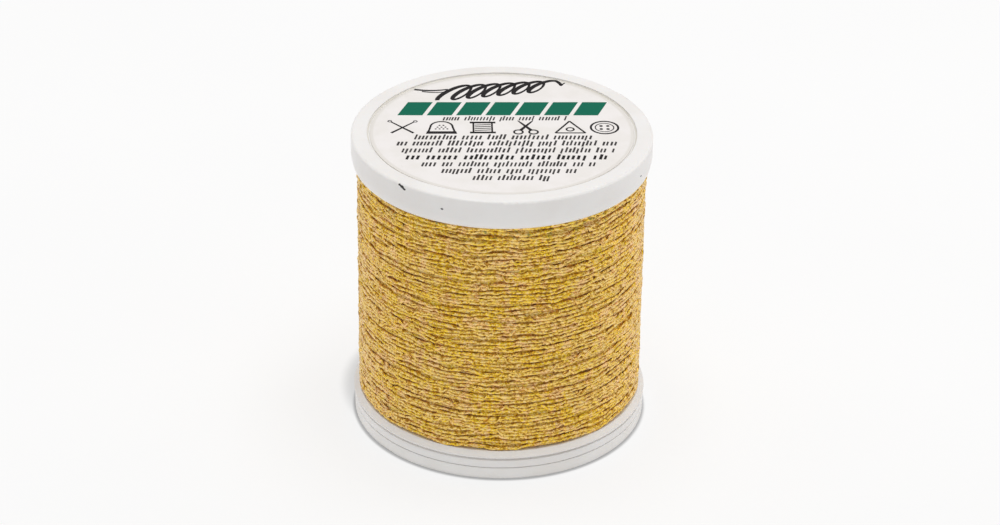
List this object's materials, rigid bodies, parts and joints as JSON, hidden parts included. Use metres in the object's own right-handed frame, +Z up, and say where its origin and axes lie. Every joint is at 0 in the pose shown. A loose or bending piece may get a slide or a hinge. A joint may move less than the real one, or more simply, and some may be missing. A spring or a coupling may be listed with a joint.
{
  "type": "spool of thread",
  "caption": "Round white plastic sewing spool with a full winding of gold metallic thread, a label on top and a base that snaps open to free the thread end.",
  "frame": {"origin": "centre of the foot ring's plane, on the spool's axis", "axes": "+Z up along the spool's axis from the foot to the top rim; +Y towards the back, where the thread end enters the lock"},
  "size_m": [0.034, 0.034, 0.0356],
  "materials": {
    "white_plastic": "smooth moulded white, soft gloss",
    "base_plastic": "smooth moulded white, soft gloss",
    "label_paper": null,
    "metallic_thread": "twisted gold metallic film and core yarn, glinting"
  },
  "bodies": {
    "base": {"snap_base": "base_plastic", "spindle_tube": "base_plastic", "base_label": "label_paper"},
    "spool": {"spool_body": "white_plastic", "upper_flange": "white_plastic", "top_cap": "white_plastic", "top_label": "label_paper", "thread_winding": "metallic_thread", "thread_tail": "metallic_thread"}
  },
  "joints": [
    {"name": "base_snap", "type": "slide", "parent": "base", "child": "spool", "axis": [0, 0, 1], "range_m": [0, 0.0015]}
  ]
}
